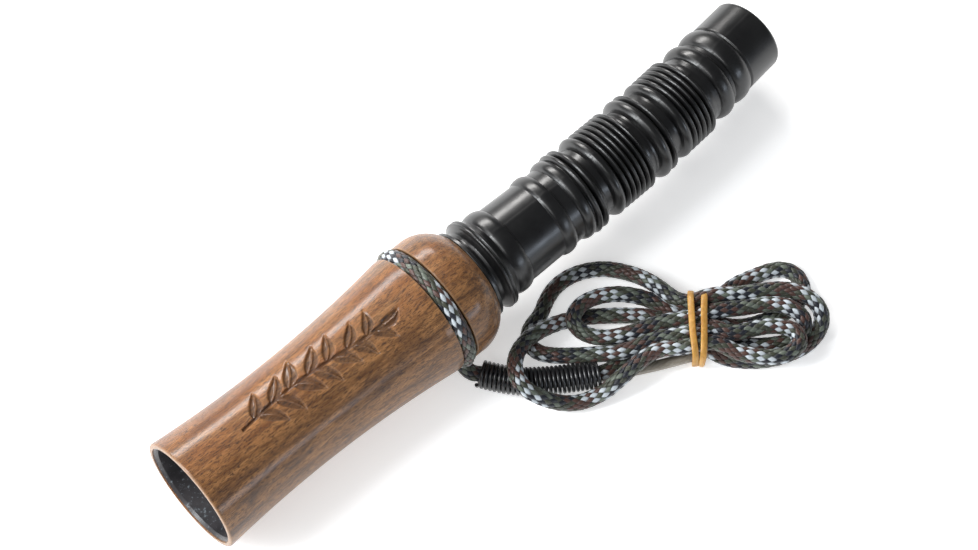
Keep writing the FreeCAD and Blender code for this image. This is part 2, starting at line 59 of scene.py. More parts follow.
BARREL_LENGTH = 99.6
GROOVE_PLACE, GROOVE_HALF, GROOVE_DEPTH_RADIUS = 84.6, 2.45, 17.7
CARVED_FROM, CARVED_TO = 17.0, 75.0
CARVED_HALF_ANGLE = math.radians(42)
CARVED_MIDDLE = math.radians(-3)
CARVED_DEPTH = 0.62
CARVED_RADIUS = 16.3
FINE_ANGLE, COARSE_ANGLE = math.radians(0.9), math.radians(4)
# Edges that rub pale, as (least radius, place, reach): mouth, groove and hose end.
WORN_EDGES = [(15.95, 0, 0.9), (18, GROOVE_PLACE - GROOVE_HALF, 0.8),
              (18, GROOVE_PLACE + GROOVE_HALF, 0.8), (14, BARREL_LENGTH, 1.0)]


def arc(start, through, end, steps):
    """Points of the arc through three points, without its last one."""
    (ax, ay), (bx, by), (cx, cy) = start, through, end
    d = 2 * (ax * (by - cy) + bx * (cy - ay) + cx * (ay - by))
    a2, b2, c2 = ax * ax + ay * ay, bx * bx + by * by, cx * cx + cy * cy
    ux = (a2 * (by - cy) + b2 * (cy - ay) + c2 * (ay - by)) / d
    uy = (a2 * (cx - bx) + b2 * (ax - cx) + c2 * (bx - ax)) / d
    first = math.atan2(ay - uy, ax - ux)
    turn = (math.atan2(cy - uy, cx - ux) - first) % math.tau
    if (bx - ax) * (cy - ay) < (by - ay) * (cx - ax):
        turn -= math.tau
    radius = math.hypot(ax - ux, ay - uy)
    angles = [first + turn * k / steps for k in range(steps)]
    return [(ux + radius * math.cos(t), uy + radius * math.sin(t)) for t in angles]


def straight(start, end, steps):
    return [tuple(a + (b - a) * k / steps for a, b in zip(start, end)) for k in range(steps)]


def barrel_outline():
    """The barrel's section from the mouth's rim, over the outside, and back through the bore."""
    before, after = GROOVE_PLACE - GROOVE_HALF, GROOVE_PLACE + GROOVE_HALF
    bottom = GROOVE_DEPTH_RADIUS - GROOVE_HALF
    outline = arc((0, 16.9), (0.176, 17.324), (0.6, 17.5), 5)
    outline += arc((0.6, 17.5), (40, 16.0), (80, 18.8), 290)
    outline += straight((80, 18.8), (before - 0.25, 18.83), 6)
    outline += arc((before - 0.25, 18.83), (before - 0.07, 18.76), (before, 18.6), 3)
    outline += [(before, 18.2)]
    outline += arc((before, GROOVE_DEPTH_RADIUS), (GROOVE_PLACE, bottom),
                   (after, GROOVE_DEPTH_RADIUS), 16)
    outline += [(after, GROOVE_DEPTH_RADIUS), (after, 18.3)]
    outline += arc((after, 18.7), (after + 0.07, 18.87), (after + 0.25, 18.94), 3)
    outline += straight((after + 0.25, 18.94), (90.5, 19.0), 6)
    outline += arc((90.5, 19.0), (95.96, 17.53), (99.45, 14.45), 30)
    outline += arc((99.45, 14.45), (99.57, 14.3), (99.6, 14.1), 3)
    outline += [(99.6, 14.1), (99.6, 11.5), (97.9, 11.5), (97.9, 9.5), (71.6, 9.5),
                (66.6, 12.4), (30.4, 12.4), (30.4, 13.4), (0.4, 15.9), (0.0, 16.0)]
    return outline


def sprig():
    """Leaves along a gently bent stem, as (foot, direction, length, half width)."""
    leaves = []
    for number in range(7):
        x = 23.5 + number * 6.4
        side = 1 if number % 2 else -1
        size = 1 - 0.05 * abs(number - 2)
        for way, lean in ((side, 0.82), (-side, 1.0)):
            foot = (x + (1.6 if way < 0 else 0), stem_height(x))
            leaves.append((foot, way * lean, 10.2 * size, 2.15 * size))
    leaves.append(((66.5, stem_height(66.5)), 0.12, 7.6, 1.8))
    return leaves


def stem_height(x):
    return 1.3 * math.sin((x - 20) / 52 * math.pi * 1.6)


def leaf_cut(x, v, leaf):
    """Depth share of one leaf's hollow, with its midrib left standing."""
    (foot_x, foot_v), direction, length, half_width = leaf
    along = ((x - foot_x) * math.cos(direction) + (v - foot_v) * math.sin(direction)) / length
    if not 0.03 < along < 1:
        return 0
    bend = 0.9 * math.sin(math.pi * along) * (1 if direction > 0 else -1)
    across = (v - foot_v) * math.cos(direction) - (x - foot_x) * math.sin(direction) + bend
    room = half_width * math.sin(math.pi * along ** 0.75) - abs(across)
    if room <= 0:
        return 0
    rib = max(0, 1 - abs(across) / 0.38)
    return min(room / 0.45, 1) * (1 - 0.62 * rib)


def carving(x, angle, leaves):
    """Depth share of the carved sprig at a place on the barrel."""
    if not CARVED_FROM < x < CARVED_TO or abs(angle) > CARVED_HALF_ANGLE:
        return 0
    v = angle * CARVED_RADIUS
    cut = max(leaf_cut(x, v, leaf) for leaf in leaves)
    if 19 < x < 67:
        cut = max(cut, min(1, 2 * (1 - abs(v - stem_height(x)) / 0.6)))
    return cut


def piece_from(name, mesh):
    piece = bpy.data.objects.new(name, mesh)
    bpy.context.scene.collection.objects.link(piece)
    return piece


def facing_out(mesh):
    """Turn a closed mesh's faces outwards."""
    work = bmesh.new()
    work.from_mesh(mesh)
    if work.calc_volume(signed=True) < 0:
        mesh.flip_normals()
    work.free()


def ring_angles():
    """Angles round the barrel from straight up, close together over the carving."""
    fine = round(2 * CARVED_HALF_ANGLE / FINE_ANGLE)
    rest = 2 * math.pi - 2 * CARVED_HALF_ANGLE
    coarse = round(rest / COARSE_ANGLE)
    first = CARVED_MIDDLE - CARVED_HALF_ANGLE
    last = CARVED_MIDDLE + CARVED_HALF_ANGLE
    return ([first + 2 * CARVED_HALF_ANGLE * k / fine for k in range(fine)]
            + [last + rest * k / coarse for k in range(coarse)])


def make_barrel():
    outline, angles, leaves = barrel_outline(), ring_angles(), sprig()
    across = len(angles)
    places, cuts, wear = [], [], []
    for x, radius in outline:
        outside = radius > 15.95 and x < 80
        for angle in angles:
            cut = carving(x, angle - CARVED_MIDDLE, leaves) if outside else 0
            depth = radius - cut * CARVED_DEPTH
            places.append((x * MM, depth * math.sin(angle) * MM, depth * math.cos(angle) * MM))
            cuts.append(cut)
            wear.append(max([0] + [1 - abs(x - place) / reach
                                   for least, place, reach in WORN_EDGES if radius > least]))
    count = len(outline)
    faces = [(i * across + j, i * across + (j + 1) % across,
              (i + 1) % count * across + (j + 1) % across, (i + 1) % count * across + j)
             for i in range(count) for j in range(across)]
    mesh = bpy.data.meshes.new("wooden_barrel")
    mesh.from_pydata(places, [], faces)
    for label, values in (("carved", cuts), ("worn", wear)):
        mesh.attributes.new(label, "FLOAT", "POINT").data.foreach_set("value", values)
    facing_out(mesh)
    mesh.shade_smooth()
    mesh.set_sharp_from_angle(angle=math.radians(40))
    return piece_from("wooden_barrel", mesh)


def fed(tree, socket, value):
    """Feed a socket from an output, or give it a plain value."""
    if isinstance(value, bpy.types.NodeSocket):
        tree.links.new(value, socket)
    else:
        socket.default_value = value


def add(tree, kind, inputs=None, **settings):
    """Add a node. An input is a plain value, or the output that feeds it."""
    node = tree.nodes.new(kind)
    for name, value in settings.items():
        setattr(node, name, value)
    for name, value in (inputs or {}).items():
        fed(tree, node.inputs[name], value)
    return node


def finish_named(name, shader_values):
    """A node material, its tree and its shader, with plain values on the shader's sockets."""
    material = bpy.data.materials.new(name)
    material.use_nodes = True
    shader = material.node_tree.nodes["Principled BSDF"]
    for socket, value in shader_values.items():
        shader.inputs[socket].default_value = value
    return material, material.node_tree, shader


def stretched(tree, scale):
    """Object coordinates stretched by three factors, per metre."""
    place = add(tree, "ShaderNodeTexCoord").outputs["Object"]
    return add(tree, "ShaderNodeMapping", {"Vector": place, "Scale": scale}).outputs[0]


def noise(tree, scale, detail=3.0, rough=0.55, distortion=0.0):
    return add(tree, "ShaderNodeTexNoise", {
        "Vector": stretched(tree, scale), "Scale": 1.0, "Detail": detail, "Roughness": rough,
        "Distortion": distortion}).outputs["Fac"]


def spread(tree, value, low, high, to_low=0.0, to_high=1.0):
    """Map a value's range to another range, held at both ends."""
    return add(tree, "ShaderNodeMapRange", {
        "Value": value, "From Min": low, "From Max": high, "To Min": to_low, "To Max": to_high,
    }).outputs[0]


def mixed(tree, factor, first, second, blend="MIX"):
    """Blend two colours. The factor may be a value with the range it is spread over."""
    if isinstance(factor, tuple):
        factor = spread(tree, *factor)
    node = add(tree, "ShaderNodeMix", data_type="RGBA", blend_type=blend)
    for number, value in ((0, factor), (6, first), (7, second)):
        fed(tree, node.inputs[number], value)
    return node.outputs[2]


def maths(tree, operation, *values):
    """A math node's output for one, two or three values or outputs."""
    return add(tree, "ShaderNodeMath", dict(enumerate(values)), operation=operation).outputs[0]


def times(tree, first, second):
    return maths(tree, "MULTIPLY", first, second)


def attribute(tree, name):
    return add(tree, "ShaderNodeAttribute", attribute_name=name)


def coloured(tree, shader, colour):
    tree.links.new(colour, shader.inputs["Base Color"])


def bumped(tree, shader, height, strength, distance):
    bump = add(tree, "ShaderNodeBump", {
        "Height": height, "Strength": strength, "Distance": distance})
    tree.links.new(bump.outputs[0], shader.inputs["Normal"])


def wood_finish():
    """Brown stained hardwood: short dark pores along the grain, streaks and rubbed edges, with painted light: a
    warmer orange tone painted over the top and the +Y side, towards the far lamp.
    """
    material, tree, shader = finish_named("stained_wood", {
        "Roughness": 0.45, "Coat Weight": 0.45, "Coat Roughness": 0.2, "Specular IOR Level": 0.3})
    broad = noise(tree, (26, 110, 110), 5, 0.65, 0.8)
    streak = noise(tree, (70, 620, 620), 6, 0.66, 0.5)
    pores = noise(tree, (800, 3600, 3600), 4, 0.7)
    flecks = noise(tree, (430, 2000, 2000), 4, 0.65)
    place = add(tree, "ShaderNodeSeparateXYZ", {
        "Vector": add(tree, "ShaderNodeTexCoord").outputs["Object"]})
    # Painted light: a warmer orange tone is painted in broad patches over the top and the +Y side, where the far
    # lamp falls, fading out towards -Y.
    side = spread(tree, place.outputs["Y"], -0.012, 0.002)
    painted_light_orange = times(tree, side, spread(tree, broad, 0.34, 0.6))
    base = mixed(tree, (streak, 0.34, 0.66), (0.095, 0.037, 0.01, 1), (0.4, 0.19, 0.066, 1))
    base = mixed(tree, (painted_light_orange, 0, 1, 0, 0.8), base, (0.24, 0.072, 0.01, 1))
    base = mixed(tree, (broad, 0.52, 0.68, 0, 0.7), base, (0.07, 0.031, 0.014, 1))
    base = mixed(tree, (flecks, 0.52, 0.62, 0, 0.72), base, (0.045, 0.02, 0.01, 1))
    base = mixed(tree, (pores, 0.53, 0.63, 0, 0.8), base, (0.022, 0.011, 0.007, 1))
    base = mixed(tree, (attribute(tree, "carved").outputs["Fac"], 0.1, 0.8, 0, 0.5),
                 base, (0.035, 0.017, 0.009, 1))
    base = mixed(tree, (attribute(tree, "worn").outputs["Fac"], 0.25, 0.9, 0, 0.6),
                 base, (0.3, 0.17, 0.085, 1))
    coloured(tree, shader, base)
    tree.links.new(spread(tree, streak, 0.3, 0.7, 0.4, 0.55), shader.inputs["Roughness"])
    bumped(tree, shader, maths(tree, "ADD", pores, streak), 0.6, 0.0004)
    return material


barrel = make_barrel()
stained_wood = wood_finish()
barrel.data.materials.append(stained_wood)
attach(barrel, "call_barrel")
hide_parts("barrel")


# ---- The mouth liner ----
# A thin tapered sleeve of dark flecked plastic, pressed into the mouth a little behind the
# rim, so that breath doesn't wet the wood.

def recoat(node, material):
    """Give a CAD node a finished material."""
    piece = frame["nodes"][node]
    piece.data.materials.clear()
    piece.data.materials.append(material)
    return piece


def liner_finish():
    """Charcoal plastic in cloudy tones, with pale mineral flecks."""
    material, tree, shader = finish_named("flecked_liner", {
        "Roughness": 0.36, "Specular IOR Level": 0.5})
    specks = noise(tree, (900, 900, 900), 5, 0.75)
    clouds = noise(tree, (160, 160, 160), 3)
    base = mixed(tree, (clouds, 0.35, 0.7), (0.018, 0.017, 0.019, 1), (0.05, 0.045, 0.048, 1))
    base = mixed(tree, (specks, 0.58, 0.7, 0, 0.8), base, (0.26, 0.3, 0.33, 1))
    coloured(tree, shader, base)
    bumped(tree, shader, specks, 0.4, 0.00015)
    return material


recoat("mouth_liner", liner_finish())


# ---- The reed insert ----
# A moulded black plug with two rubber seal rings, pushed into the barrel's end. A cork wedge
# clamps the thin plastic reed on the half-round tone board, and a rubber ring tunes it.

def plastic_finish(name, colour, roughness, fleck):
    """Moulded plastic with fine mottling and a faint texture."""
    material, tree, shader = finish_named(name, {"Roughness": roughness, "Specular IOR Level": 0.5})
    mottle = noise(tree, (700, 700, 700), 4)
    coloured(tree, shader, mixed(tree, (mottle, 0.3, 0.75), colour, fleck))
    tree.links.new(spread(tree, mottle, 0.3, 0.7, roughness * 0.8, roughness * 1.2),
                   shader.inputs["Roughness"])
    bumped(tree, shader, mottle, 0.15, 0.0001)
    return material


def reed_finish():
    """Frosted clear film with hairline scratches along its length."""
    material, tree, shader = finish_named("reed_film", {
        "Roughness": 0.25, "Transmission Weight": 0.5, "IOR": 1.49})
    hairs = noise(tree, (150, 6000, 6000), 3)
    coloured(tree, shader, mixed(tree, hairs, (0.72, 0.7, 0.6, 1), (0.88, 0.87, 0.8, 1)))
    bumped(tree, shader, hairs, 0.2, 0.00005)
    return material


def cork_finish():
    """Pale cork with dark grains and pits."""
    material, tree, shader = finish_named("cork_grain", {"Roughness": 0.85})
    cells = add(tree, "ShaderNodeTexVoronoi", {
        "Vector": stretched(tree, (900, 900, 900)), "Scale": 1.0})
    pits = noise(tree, (1500, 1500, 1500), 4)
    base = mixed(tree, (cells.outputs["Distance"], 0.2, 0.8),
                 (0.56, 0.36, 0.2, 1), (0.38, 0.22, 0.11, 1))
    base = mixed(tree, (pits, 0.6, 0.72), base, (0.12, 0.06, 0.03, 1))
    coloured(tree, shader, base)
    bumped(tree, shader, pits, 0.5, 0.0002)
    return material


black_plastic = plastic_finish(
    "black_plastic", (0.012, 0.012, 0.013, 1), 0.3, (0.03, 0.03, 0.032, 1))
seal_rubber = plastic_finish("seal_rubber", (0.01, 0.01, 0.01, 1), 0.5, (0.022, 0.021, 0.02, 1))
reed_film = reed_finish()
for plastic_node in ("insert_housing", "tone_board"):
    recoat(plastic_node, black_plastic)
for rubber_node in ("seal_ring_1", "seal_ring_2", "tuning_ring"):
    recoat(rubber_node, seal_rubber)
for reed_node in ("reed_tongue", "reed_root"):
    recoat(reed_node, reed_film)
recoat("reed_wedge", cork_finish())


# ---- The ribbed hose ----
# One moulding of black rubber: a lip against the barrel, a sharp double disc, plain tube and
# round beads, two packs of thin ribs, and a smooth cuff. It bends at four deep necks, and the
# mould left a fine parting line along its top.

HOSE_STEP = 0.125
HOSE_SEGMENTS = 160
HOSE_BORE, CUFF_BORE, CUFF_BORE_FROM = 9.0, 9.8, 200.0
HOSE_START, HOSE_END = 99.75, 214.0
NECK_BLEND = 2.6
PARTING_WIDTH, PARTING_HEIGHT, PARTING_FROM = 0.42, 0.09, 10.9

# Plain tube under the beads, as (place, radius).
HOSE_TUBE = [
    (99.6, 13.75), (99.95, 14.1), (100.8, 14.1), (101.2, 13.3), (101.5, 12.2), (102.3, 11.9),
    (103.1, 12.2), (103.9, 13.3), (104.4, 13.9), (106.5, 13.85), (107.5, 13.0), (108.3, 12.5),
    (109.2, 12.4), (114.5, 12.3), (124.9, 12.1), (130.8, 11.9), (134.0, 11.75), (137.3, 11.4),
    (142.2, 11.2), (143.3, 10.8), (144.6, 10.8), (146.0, 11.0), (161.0, 11.1), (162.3, 10.8),
    (163.4, 10.9), (168.9, 11.1), (170.9, 10.8), (172.2, 10.8), (186.0, 11.0), (187.1, 10.8),
    (189.0, 10.8), (194.7, 10.9), (201.4, 11.1), (202.0, 11.62), (213.2, 11.6), (213.75, 11.4),
    (214.0, 11.1),
]
# Beads and ribs, as (middle, outside radius, half width, foot radius).
HOSE_BEADS = [
    (104.85, 14.42, 0.62, 13.6), (106.0, 14.38, 0.62, 13.6),
    (110.9, 13.3, 2.9, 12.2), (128.3, 12.85, 2.2, 12.0), (135.8, 12.95, 1.9, 11.9),
    (138.8, 13.3, 1.12, 11.3), (141.2, 13.15, 1.12, 11.0),
    (147.0, 13.15, 1.9, 10.8), (165.0, 13.3, 2.0, 10.8), (167.95, 13.1, 0.98, 10.8),
    (173.5, 12.95, 1.75, 10.8), (191.3, 12.5, 2.6, 10.8), (198.3, 12.3, 3.2, 10.9),
]
HOSE_BEADS += [(149.85 + 1.87 * number, 13.05, 0.88, 11.0) for number in range(6)]
HOSE_BEADS += [(176.0 + 1.96 * number, 12.9, 0.92, 11.0) for number in range(5)]


def hose_radius(x):
    """Outside radius of the hose at a distance along it."""
    for (left, low), (right, high) in zip(HOSE_TUBE, HOSE_TUBE[1:]):
        if left <= x <= right:
            radius = low + (high - low) * (x - left) / (right - left)
            break
    for middle, peak, half, foot in HOSE_BEADS:
        reach = abs(x - middle) / half
        if reach < 1:
            radius = max(radius, foot + (peak - foot) * (1 - reach * reach) ** 0.6)
    return radius


def tree_with(name, extra):
    """Start a geometry tree with a geometry in and out, and named inputs."""
    tree = bpy.data.node_groups.new(name, "GeometryNodeTree")
    for label, kind in [("Geometry", "Geometry"), *extra, ("Material", "Material")]:
        tree.interface.new_socket(label, in_out="INPUT", socket_type="NodeSocket" + kind)
    tree.interface.new_socket("Geometry", in_out="OUTPUT", socket_type="NodeSocketGeometry")
    return tree, add(tree, "NodeGroupInput").outputs


def end_tree(tree, given, geometry):
    """Realize, smooth and coat what a tree made."""
    real = add(tree, "GeometryNodeRealizeInstances", {"Geometry": geometry})
    smooth = add(tree, "GeometryNodeSetShadeSmooth", {"Geometry": real.outputs[0]})
    coated = add(tree, "GeometryNodeSetMaterial", {
        "Geometry": smooth.outputs[0], "Material": given["Material"]})
    add(tree, "NodeGroupOutput", {"Geometry": coated.outputs[0]})
    return tree


def vector_maths(tree, operation, inputs):
    node = add(tree, "ShaderNodeVectorMath", inputs, operation=operation)
    return node.outputs["Value" if operation == "DOT_PRODUCT" else "Vector"]


def scaled(tree, direction, scale):
    return vector_maths(tree, "SCALE", {0: direction, "Scale": scale})


def grown(name, base, tree, values):
    """Run a geometry tree on a mesh and keep the result as a plain mesh piece."""
    source = piece_from(name + "_source", base)
    modifier = source.modifiers.new("grow", "NODES")
    modifier.node_group = tree
    for item in tree.interface.items_tree:
        if item.in_out == "INPUT" and item.name in values:
            modifier[item.identifier] = values[item.name]
    graph = bpy.context.evaluated_depsgraph_get()
    mesh = bpy.data.meshes.new_from_object(source.evaluated_get(graph), depsgraph=graph)
    bpy.data.objects.remove(source)
    mesh.name = name
    facing_out(mesh)
    return piece_from(name, mesh)


def turning_tree():
    """Turn a closed outline (x along, y radius) round X, with a parting line along its top."""
    tree, given = tree_with("turned_rubber", [
        ("Outline Points", "Int"), ("Segments", "Int"), ("Line Width", "Float"),
        ("Line Height", "Float"), ("Inner Radius", "Float")])
    columns = maths(tree, "ADD", given["Segments"], 1)
    grid = add(tree, "GeometryNodeMeshGrid", {
        "Vertices X": maths(tree, "ADD", given["Outline Points"], 1), "Vertices Y": columns})
    index = add(tree, "GeometryNodeInputIndex").outputs[0]
    row = maths(tree, "FLOOR", maths(tree, "DIVIDE", maths(tree, "ADD", index, 0.5), columns))
    column = maths(tree, "SUBTRACT", index, times(tree, row, columns))
    outline = add(tree, "GeometryNodeSampleIndex", {
        "Geometry": given["Geometry"], "Value": add(tree, "GeometryNodeInputPosition").outputs[0],
        "Index": maths(tree, "MODULO", row, given["Outline Points"])}, data_type="FLOAT_VECTOR")
    at = add(tree, "ShaderNodeSeparateXYZ", {0: outline.outputs[0]})
    angle = times(tree, maths(tree, "DIVIDE", column, given["Segments"]), math.tau)
    half_sine = maths(tree, "ABSOLUTE", maths(tree, "SINE", times(tree, angle, 0.5)))
    near = times(tree, half_sine, times(tree, at.outputs["Y"], 2))
    share = maths(tree, "DIVIDE", near, given["Line Width"])
    line = maths(tree, "MAXIMUM", maths(tree, "SUBTRACT", 1, share), 0)
    outside = maths(tree, "GREATER_THAN", at.outputs["Y"], given["Inner Radius"])
    proud = times(tree, times(tree, line, outside), given["Line Height"])
    radius = maths(tree, "ADD", at.outputs["Y"], proud)
    place = add(tree, "ShaderNodeCombineXYZ", {
        "X": at.outputs["X"], "Y": times(tree, radius, maths(tree, "SINE", angle)),
        "Z": times(tree, radius, maths(tree, "COSINE", angle))})
    turned = add(tree, "GeometryNodeSetPosition", {
        "Geometry": grid.outputs[0], "Position": place.outputs[0]})
    closed = add(tree, "GeometryNodeMergeByDistance", {
        "Geometry": turned.outputs[0], "Distance": 1e-6})
    return end_tree(tree, given, closed.outputs[0])


def hose_line():
    """Where the hose lies: for each stretch its start along the hose, place and direction."""
    bends = [joint for joint in frame["joints"] if joint["name"].startswith("bend_side")]
    corners = [Vector((BARREL_LENGTH * MM, 0, 0))] + [Vector(joint["pos_m"]) for joint in bends]
    mount = [row for row in frame["record"]["mounts"] if row["name"] == "hose_end"][0]
    ways = [(b - a).normalized() for a, b in zip(corners, corners[1:])]
    ways.append(Vector(mount["axis"]).normalized())
    starts = [BARREL_LENGTH]
    for a, b in zip(corners, corners[1:]):
        starts.append(starts[-1] + (b - a).length / MM)
    return list(zip(starts, corners, ways))


def turn_towards(way):
    """Rotation that lays X along a direction and keeps Y level."""
    across = Vector((0, 0, 1)).cross(way).normalized()
    return Matrix((way, across, way.cross(across))).transposed().to_quaternion()


def laid_on_hose(mesh, line):
    """Move a mesh made along straight X to where the hose lies, eased over each neck."""
    turns = [turn_towards(way) for _, _, way in line]
    for vertex in mesh.vertices:
        x = vertex.co.x / MM
        number = max(k for k in range(len(line)) if line[k][0] <= x or k == 0)
        start, corner, way = line[number]
        centre = corner + way * ((x - start) * MM)
        turn = turns[number]
        for neck, before in ((number, number - 1), (number + 1, number)):
            if 0 < neck < len(line) and abs(x - line[neck][0]) < NECK_BLEND:
                share = (x - line[neck][0]) / NECK_BLEND / 2 + 0.5
                turn = turns[before].slerp(turns[before + 1], share)
        vertex.co = centre + turn @ Vector((0, vertex.co.y, vertex.co.z))


def hose_piece(name, start, end, tree, line, finish):
    """One closed length of the hose between two places along it."""
    steps = max(8, round((end - start) / HOSE_STEP))
    outside = [start + (end - start) * k / steps for k in range(steps + 1)]
    outline = [(x, hose_radius(x)) for x in outside]
    if end >= HOSE_END:
        outline += [(end - 0.1, CUFF_BORE + 0.5), (end - 0.5, CUFF_BORE),
                    (CUFF_BORE_FROM, CUFF_BORE), (CUFF_BORE_FROM, HOSE_BORE), (start, HOSE_BORE)]
    else:
        outline += [(end, HOSE_BORE), (start, HOSE_BORE)]
    mesh = bpy.data.meshes.new(name)
    count = len(outline)
    mesh.from_pydata([(x * MM, r * MM, 0) for x, r in outline],
                     [(k, (k + 1) % count) for k in range(count)], [])
    piece = grown(name, mesh, tree, {
        "Outline Points": count, "Segments": HOSE_SEGMENTS, "Line Width": PARTING_WIDTH * MM,
        "Line Height": PARTING_HEIGHT * MM, "Inner Radius": PARTING_FROM * MM, "Material": finish})
    laid_on_hose(piece.data, line)
    piece.data.set_sharp_from_angle(angle=math.radians(50))
    return piece


def hose_finish():
    """Deep black moulded rubber with a satin bloom and faint handling marks."""
    material, tree, shader = finish_named("black_hose_rubber", {
        "Roughness": 0.3, "Specular IOR Level": 0.5, "Coat Weight": 0.2, "Coat Roughness": 0.22})
    bloom = noise(tree, (120, 120, 120), 5, 0.6)
    grain = noise(tree, (2500, 2500, 2500), 3)
    marks = noise(tree, (90, 700, 700), 6, 0.7)
    base = mixed(tree, (bloom, 0.3, 0.75), (0.0035, 0.0035, 0.004, 1), (0.009, 0.009, 0.009, 1))
    base = mixed(tree, (marks, 0.66, 0.78, 0, 0.5), base, (0.03, 0.03, 0.031, 1))
    coloured(tree, shader, base)
    tree.links.new(spread(tree, bloom, 0.3, 0.7, 0.26, 0.4), shader.inputs["Roughness"])
    bumped(tree, shader, grain, 0.12, 0.00006)
    return material


# Each length is laid bent over one neck: (name, its own body, the ring at its neck, that neck).
HOSE_PIECES = [
    ("hose_start", "hose_base", "neck_1", 1), ("hose_pack_1_near", "pack_1", "neck_1", 1),
    ("hose_pack_1_far", "pack_1", "neck_2", 2), ("hose_middle_near", "middle", "neck_2", 2),
    ("hose_middle_far", "middle", "neck_3", 3), ("hose_pack_2_near", "pack_2", "neck_3", 3),
    ("hose_pack_2_far", "pack_2", "neck_4", 4), ("hose_cuff_skin", "cuff", "neck_4", 4),
]
HOSE_NODES = {
    "hose_start": ("hose_base", "hose_neck_1"), "hose_pack_1_near": ("hose_pack_1",),
    "hose_pack_1_far": ("hose_neck_2",), "hose_middle_near": ("hose_middle",),
    "hose_middle_far": ("hose_neck_3",), "hose_pack_2_near": ("hose_pack_2",),
    "hose_pack_2_far": ("hose_neck_4",), "hose_cuff_skin": ("hose_cuff",),
}
# Valleys between ribs where a stretch is in two lengths, after necks 1, 2 and 3.
HOSE_SPLITS = [HOSE_START, 152.655, 166.95, 180.9, HOSE_END]

line_of_hose = hose_line()
rubber = hose_finish()
turned_rubber = turning_tree()
for number, (name, body, ring, neck) in enumerate(HOSE_PIECES):
    neck_place, neck_centre, _ = line_of_hose[neck]
    split = HOSE_SPLITS[neck - 1 + number % 2]
    start, end = sorted((neck_place, split))
    length = hose_piece(name, start, end, turned_rubber, line_of_hose, rubber)
    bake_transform(length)
    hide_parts(*HOSE_NODES[name])


# ---- The lanyard cord ----
# Braided nylon cord, sixteen flat strands in silver, black, olive and red-brown over a dark
# core. It hangs from a ring of the same cord round the barrel, goes through the spring, is
# folded to and fro in a hank, and its end is pushed into the smooth rod.

CORD_THICK = 4.7
STRANDS_EACH_WAY = 8
CELL_LENGTH = 3.05
STRAND_SINK, CORE_GAP = 0.42, 0.12
TILE_LONG, TILE_WIDE, TILE_HIGH, TILE_POINTED = 0.52, 0.54, 0.4, 1.55
# The cord's line, in millimetres: from the ring through the spring, then each pass of the
# hank in turn, and last into the rod's end.
FROM_RING = [
    (84.6, -13.8, -11.1), (84.9, -17.2, -14.6), (87.4, -19.3, -15.5), (90.4, -24.1, -15.5),
    (94.4, -28.9, -15.5), (99.5, -33.1, -15.5), (105.2, -37.2, -15.5), (111.9, -41.4, -15.5),
]
HANK = [
    # Out of the spring, through the tie low down, and round the small right-hand turn.
    (114.6, -42.5, -15.6), (119.8, -42.7, -16.8), (126.3, -44.0, -17.4), (133.5, -47.0, -16.8),
    (135.3, -50.8, -15.8), (143.7, -54.2, -15.8), (147.4, -59.5, -17.6), (152.9, -65.0, -17.6),
    (158.6, -68.8, -17.4), (163.6, -70.4, -15.8), (166.5, -67.9, -13.8), (165.7, -62.9, -12.7),
    (161.7, -58.1, -12.7), (154.4, -53.9, -12.3), (147.8, -49.7, -11.1), (139.4, -46.3, -11.1),
    # The middle turn on the left, on top of the others.
    (134.8, -42.7, -11.0), (127.0, -40.0, -11.5), (119.8, -35.9, -12.2), (116.0, -30.6, -12.3),
    (116.4, -25.1, -12.3), (121.5, -22.9, -12.4), (128.1, -24.4, -13.0), (134.5, -28.7, -14.0),
    (139.6, -36.2, -15.2), (141.5, -43.9, -15.8), (149.8, -47.3, -15.8),
    # The wide turn on the right, flat on the surface.
    (158.7, -45.7, -17.0), (165.8, -47.4, -17.6), (172.9, -49.9, -17.6), (175.8, -53.8, -17.6),
    (175.3, -58.4, -17.6), (172.2, -61.6, -17.6), (166.4, -62.3, -17.6), (159.8, -60.2, -17.6),
    (152.1, -56.8, -17.6), (146.7, -50.9, -15.8), (138.3, -47.5, -15.8),
    # Under the middle turn, then the big left-hand turn that passes over the spring.
    (136.6, -38.3, -17.0), (130.7, -32.2, -17.6), (123.5, -26.2, -17.6), (116.5, -23.0, -15.5),
    (110.0, -21.8, -13.0), (103.6, -21.3, -12.0), (97.5, -23.1, -10.5), (92.8, -27.4, -8.7),
    (91.4, -32.7, -8.9), (93.7, -37.2, -11.5), (97.9, -40.9, -15.5), (102.7, -44.0, -17.4),
    (108.8, -46.4, -16.2), (114.6, -47.3, -13.2), (120.6, -47.4, -11.6), (128.0, -47.9, -11.2),
    (133.7, -52.7, -11.1), (141.8, -56.5, -11.1),
    # The inner turn on the right.
    (144.0, -62.8, -12.6), (148.7, -68.8, -12.9), (153.7, -73.1, -12.9), (159.6, -73.3, -12.9),
    (161.7, -69.5, -12.6), (158.8, -64.9, -12.2), (153.9, -61.7, -11.8), (146.0, -58.2, -11.4),
    (144.8, -53.0, -11.1), (136.5, -49.6, -11.1),
    # The straight strand to the left, under the big turn, and the upper left-hand turn.
    (129.8, -45.0, -11.4), (121.6, -42.8, -12.2), (115.5, -38.2, -12.6), (109.0, -32.8, -13.0),
    (104.7, -28.4, -13.6), (103.4, -24.5, -15.2), (104.5, -20.0, -17.3), (108.1, -17.2, -17.6),
    (113.0, -16.4, -17.6), (117.2, -13.9, -17.6), (122.5, -12.3, -17.4), (128.9, -13.2, -17.0),
    (135.0, -17.0, -16.2), (139.1, -22.6, -15.2), (142.2, -30.8, -13.4), (142.4, -42.9, -11.1),
    # Round the right-hand end and back along the bottom.
    (151.1, -45.8, -11.1), (156.2, -50.0, -12.0), (162.5, -53.6, -12.7), (168.5, -57.6, -12.9),
    (171.9, -63.4, -13.2), (172.4, -68.7, -14.8), (169.4, -72.1, -17.0), (163.2, -73.3, -17.6),
    (157.0, -72.0, -17.6), (151.1, -69.2, -17.6), (146.1, -65.2, -17.6), (141.8, -60.3, -17.2),
    (140.6, -56.3, -16.4),
]


